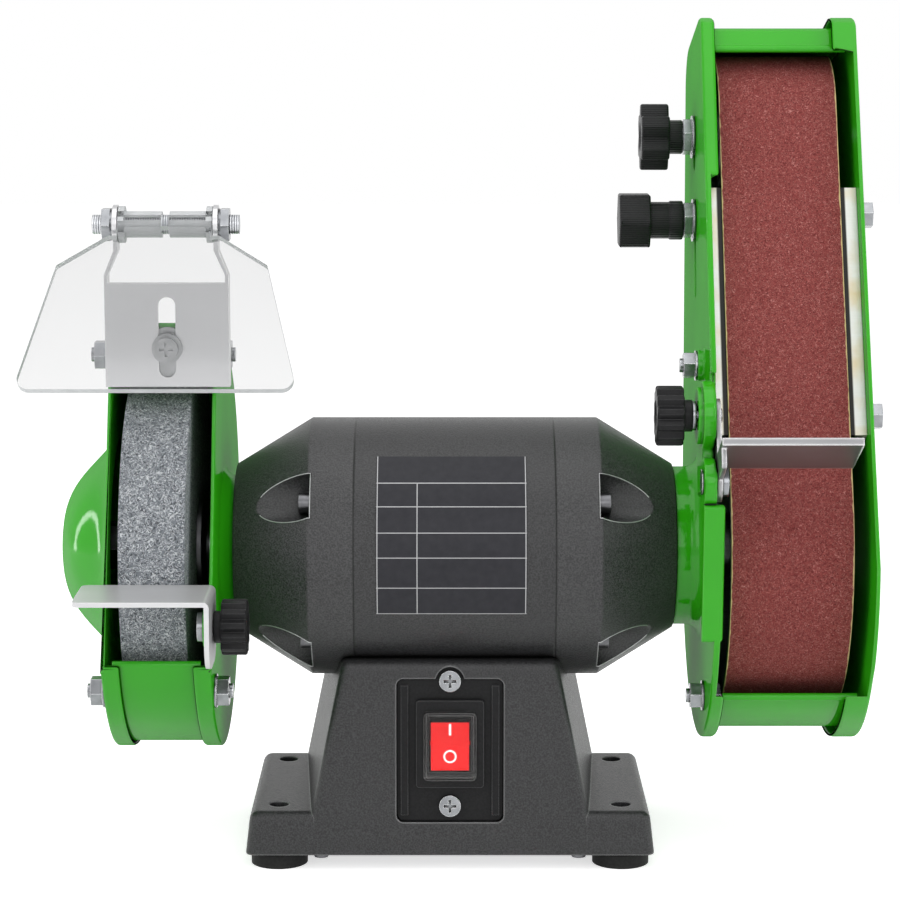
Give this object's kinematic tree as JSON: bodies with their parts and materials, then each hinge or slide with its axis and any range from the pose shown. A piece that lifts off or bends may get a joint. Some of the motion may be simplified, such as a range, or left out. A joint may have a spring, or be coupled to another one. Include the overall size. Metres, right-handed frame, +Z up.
{
  "type": "bench grinder with belt sander",
  "caption": "Bench grinder with a guarded grinding wheel, tool rest and eye shield, and a tilting belt sander arm with a work table.",
  "frame": {"origin": "middle of the bench bolt pattern, on the bench surface under the feet", "axes": "+Z up, +X along the motor axis towards the sander arm, -Y towards the user"},
  "size_m": [0.3498, 0.207, 0.3547],
  "materials": {
    "cast_charcoal": "textured",
    "rubber": "matte",
    "black_plastic": "satin",
    "red_plastic": "gloss",
    "clear_plastic": "clear",
    "green_paint": "gloss",
    "zinc": "zinc plated",
    "steel": "brushed",
    "aluminium": "turned",
    "copper": "varnished",
    "abrasive_grit": "rough",
    "abrasive_cloth": "rough"
  },
  "bodies": {
    "machine": {"base_casting": "cast_charcoal", "rubber_feet": "rubber", "bottom_plate": "zinc", "bottom_screws": "steel", "switch_panel": "black_plastic", "panel_screws": "zinc", "switch_body": "black_plastic", "switch_cover": "clear_plastic", "cable_gland": "black_plastic", "capacitor": "aluminium", "stator_housing": "cast_charcoal", "left_end_bell": "cast_charcoal", "right_end_bell": "cast_charcoal", "tie_bolts": "steel", "motor_mount_screws": "steel", "stator_core": "steel", "windings": "copper", "ball_bearings": "steel", "guard_inner_plate": "green_paint", "guard_cover": "green_paint", "guard_strip": "green_paint", "guard_bolts": "zinc", "guard_screws": "steel", "rest_bolt": "zinc", "bracket_screw": "zinc", "arm_clamp_ring": "steel", "clamp_screws": "steel"},
    "rotor": {"rotor_core": "steel", "motor_shaft": "steel", "grinding_wheel": "abrasive_grit", "wheel_flanges": "steel", "wheel_nut": "zinc", "drive_wheel": "aluminium", "drive_nut": "zinc"},
    "rocker": {"switch_rocker": "red_plastic"},
    "rest": {"tool_rest": "steel"},
    "rest_grip": {"rest_knob": "black_plastic"},
    "shield_mount": {"shield_bracket": "zinc", "hinge_rod": "steel", "rod_nuts": "zinc"},
    "shield": {"eye_shield": "clear_plastic"},
    "arm": {"arm_casting": "green_paint", "arm_cover": "green_paint", "arm_strip": "green_paint", "arm_bolts": "zinc", "sanding_belt": "abrasive_cloth", "platen": "steel", "platen_bolts": "zinc", "table_pivot": "zinc", "tension_spring": "steel"},
    "carriage": {"tension_carriage": "zinc", "tension_bolt": "steel", "idler_axle": "steel", "axle_nuts": "zinc"},
    "idler": {"idler_roller": "aluminium", "idler_bearings": "steel"},
    "tracking_grip": {"tracking_knob": "black_plastic"},
    "tension_grip": {"tension_knob": "black_plastic"},
    "table": {"work_table": "steel"},
    "table_grip": {"table_knob": "black_plastic"}
  },
  "joints": [
    {"name": "rotor_spin", "type": "hinge", "parent": "machine", "child": "rotor", "pos_m": [0, 0, 0.13], "axis": [1, 0, 0], "continuous": true},
    {"name": "switch_rock", "type": "hinge", "parent": "machine", "child": "rocker", "pos_m": [0, -0.04611, 0.05437], "axis": [-1, 0, 0], "range_deg": [0, 16]},
    {"name": "rest_slide", "type": "slide", "parent": "machine", "child": "rest", "axis": [0, 1, 0], "range_m": [-0.008, 0.0015]},
    {"name": "rest_knob_turn", "type": "hinge", "parent": "machine", "child": "rest_grip", "pos_m": [-0.09, -0.09, 0.114], "axis": [1, 0, 0], "range_deg": [-360, 360]},
    {"name": "bracket_slide", "type": "slide", "parent": "machine", "child": "shield_mount", "axis": [0, 0, 1], "range_m": [-0.008, 0.008]},
    {"name": "shield_swing", "type": "hinge", "parent": "shield_mount", "child": "shield", "pos_m": [-0.116, -0.0418, 0.2715], "axis": [1, 0, 0], "range_deg": [-60, 25]},
    {"name": "arm_tilt", "type": "hinge", "parent": "machine", "child": "arm", "pos_m": [0, 0, 0.13], "axis": [-1, 0, 0], "range_deg": [-15, 75]},
    {"name": "tension_slide", "type": "slide", "parent": "arm", "child": "carriage", "axis": [0, 0.2588, 0.9659], "range_m": [-0.01, 0], "deforming": ["tension_spring"]},
    {"name": "idler_spin", "type": "hinge", "parent": "carriage", "child": "idler", "pos_m": [0.1397, 0.04637, 0.30306], "axis": [1, 0, 0], "continuous": true},
    {"name": "tracking_turn", "type": "hinge", "parent": "carriage", "child": "tracking_grip", "pos_m": [0.09, 0.04637, 0.30306], "axis": [1, 0, 0], "range_deg": [-360, 360]},
    {"name": "tension_turn", "type": "hinge", "parent": "carriage", "child": "tension_grip", "pos_m": [0.08, 0.0368, 0.26732], "axis": [1, 0, 0], "range_deg": [-360, 360]},
    {"name": "table_tilt", "type": "hinge", "parent": "arm", "child": "table", "pos_m": [0.1083, -0.07416, 0.17006], "axis": [1, 0, 0], "range_deg": [-12, 12]},
    {"name": "table_knob_turn", "type": "hinge", "parent": "table", "child": "table_grip", "pos_m": [0.095, -0.06318, 0.19559], "axis": [1, 0, 0], "range_deg": [-360, 360]}
  ],
  "couplings": [
    {"joint": "idler_spin", "follows": "rotor_spin", "ratio": 1.9738}
  ]
}
